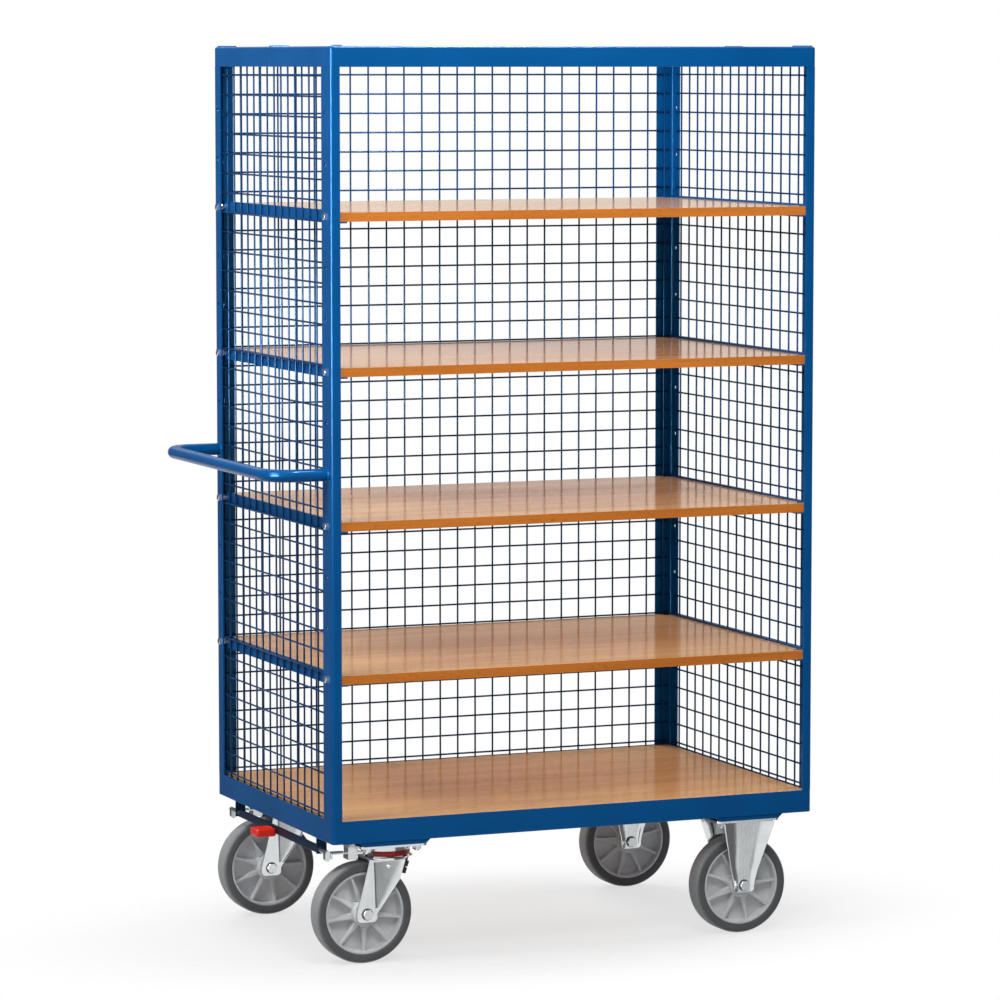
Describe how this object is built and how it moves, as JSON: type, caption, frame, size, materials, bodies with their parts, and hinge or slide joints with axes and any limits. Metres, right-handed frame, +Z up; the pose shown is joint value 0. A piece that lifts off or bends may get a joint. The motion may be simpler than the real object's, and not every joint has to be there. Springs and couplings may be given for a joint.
{
  "type": "mesh box trolley",
  "caption": "Tall shelf trolley with welded mesh sides and back, open front, wooden shelves and deck, tube push handle, braked swivel casters at the handle end and fixed casters.",
  "frame": {"origin": "on the floor at the middle of the overall box", "axes": "+Z up, +X along the length away from the push handle, -Y towards the open front"},
  "size_m": [1.1708, 0.68, 1.7995],
  "materials": {
    "blue_powder_coat": "semi-gloss powder coat",
    "blue_coated_wire": "semi-gloss powder coat on drawn wire",
    "beech_board": "satin melamine with a beech print",
    "brown_edge_band": "satin edge band",
    "zinc_plated_steel": "bright zinc plating",
    "zinc_pressed_steel": "bright zinc plating on pressed sheet",
    "grey_tyre": "soft grey rubber",
    "grey_rim_plastic": "moulded grey polypropylene",
    "bearing_steel": "ground bearing steel",
    "dark_blue_coat": "dark powder coat",
    "red_plastic": "moulded red plastic",
    "dark_red_plastic": "moulded dark red plastic",
    "black_plastic": "moulded black plastic"
  },
  "bodies": {
    "trolley": {"base_frame_front": "blue_powder_coat", "base_frame_rear": "blue_powder_coat", "top_frame_front": "blue_powder_coat", "top_frame_rear": "blue_powder_coat", "frame_welds": "blue_powder_coat", "front_left_post": "blue_powder_coat", "front_right_post": "blue_powder_coat", "rear_left_post": "blue_powder_coat", "rear_right_post": "blue_powder_coat", "left_mesh_panel": "blue_coated_wire", "right_mesh_panel": "blue_coated_wire", "rear_mesh_panel": "blue_coated_wire", "push_handle": "blue_powder_coat", "deck_board": "beech_board", "shelf_1": "beech_board", "shelf_2": "beech_board", "shelf_3": "beech_board", "shelf_4": "beech_board", "shelf_edge_bands": "brown_edge_band", "left_shelf_bearers": "blue_powder_coat", "right_shelf_bearers": "blue_powder_coat", "shelf_bolts": "zinc_plated_steel", "shelf_spacers": "zinc_plated_steel", "shelf_nuts": "zinc_plated_steel", "left_crossbeam": "blue_powder_coat", "right_crossbeam": "blue_powder_coat", "caster_bolts": "zinc_plated_steel", "caster_nuts": "zinc_plated_steel", "front_fixed_fork": "zinc_pressed_steel", "rear_fixed_fork": "zinc_pressed_steel", "fixed_axles": "zinc_plated_steel", "front_swivel_plate": "zinc_pressed_steel", "rear_swivel_plate": "zinc_pressed_steel", "kingpins": "zinc_plated_steel", "lock_rings": "dark_red_plastic", "brake_brackets": "zinc_plated_steel"},
    "brake_lever": {"brake_bar": "dark_blue_coat", "brake_pedal": "red_plastic"},
    "front_swivel": {"front_swivel_fork": "zinc_pressed_steel", "front_ball_race": "zinc_pressed_steel", "front_swivel_axle": "zinc_plated_steel", "front_brake_adjuster": "black_plastic"},
    "front_left_wheel": {"front_left_wheel_tyre": "grey_tyre", "front_left_wheel_rim": "grey_rim_plastic", "front_left_wheel_bearings": "bearing_steel"},
    "front_right_wheel": {"front_right_wheel_tyre": "grey_tyre", "front_right_wheel_rim": "grey_rim_plastic", "front_right_wheel_bearings": "bearing_steel"},
    "front_lock_slide": {"front_brake_slide": "zinc_plated_steel"},
    "rear_swivel": {"rear_swivel_fork": "zinc_pressed_steel", "rear_ball_race": "zinc_pressed_steel", "rear_swivel_axle": "zinc_plated_steel", "rear_brake_adjuster": "black_plastic"},
    "rear_left_wheel": {"rear_left_wheel_tyre": "grey_tyre", "rear_left_wheel_rim": "grey_rim_plastic", "rear_left_wheel_bearings": "bearing_steel"},
    "rear_right_wheel": {"rear_right_wheel_tyre": "grey_tyre", "rear_right_wheel_rim": "grey_rim_plastic", "rear_right_wheel_bearings": "bearing_steel"},
    "rear_lock_slide": {"rear_brake_slide": "zinc_plated_steel"}
  },
  "joints": [
    {"name": "brake_pedal_press", "type": "hinge", "parent": "trolley", "child": "brake_lever", "pos_m": [-0.4499, 0, 0.222], "axis": [0, -1, 0], "range_deg": [0, 25]},
    {"name": "front_swivel_turn", "type": "hinge", "parent": "trolley", "child": "front_swivel", "pos_m": [-0.3279, -0.278, 0.208], "axis": [0, 0, 1], "continuous": true},
    {"name": "front_left_wheel_roll", "type": "hinge", "parent": "front_swivel", "child": "front_left_wheel", "pos_m": [-0.3779, -0.278, 0.1], "axis": [0, 1, 0], "continuous": true},
    {"name": "front_right_wheel_roll", "type": "hinge", "parent": "trolley", "child": "front_right_wheel", "pos_m": [0.4421, -0.278, 0.1], "axis": [0, 1, 0], "continuous": true},
    {"name": "front_lock_slide_push", "type": "slide", "parent": "trolley", "child": "front_lock_slide", "axis": [1, 0, 0], "range_m": [0, 0.005]},
    {"name": "rear_swivel_turn", "type": "hinge", "parent": "trolley", "child": "rear_swivel", "pos_m": [-0.3279, 0.278, 0.208], "axis": [0, 0, 1], "continuous": true},
    {"name": "rear_left_wheel_roll", "type": "hinge", "parent": "rear_swivel", "child": "rear_left_wheel", "pos_m": [-0.3779, 0.278, 0.1], "axis": [0, 1, 0], "continuous": true},
    {"name": "rear_right_wheel_roll", "type": "hinge", "parent": "trolley", "child": "rear_right_wheel", "pos_m": [0.4421, 0.278, 0.1], "axis": [0, 1, 0], "continuous": true},
    {"name": "rear_lock_slide_push", "type": "slide", "parent": "trolley", "child": "rear_lock_slide", "axis": [1, 0, 0], "range_m": [0, 0.005]}
  ],
  "couplings": [
    {"joint": "front_lock_slide_push", "follows": "brake_pedal_press", "m_per_rad": 0.0114},
    {"joint": "rear_lock_slide_push", "follows": "brake_pedal_press", "m_per_rad": 0.0114}
  ]
}
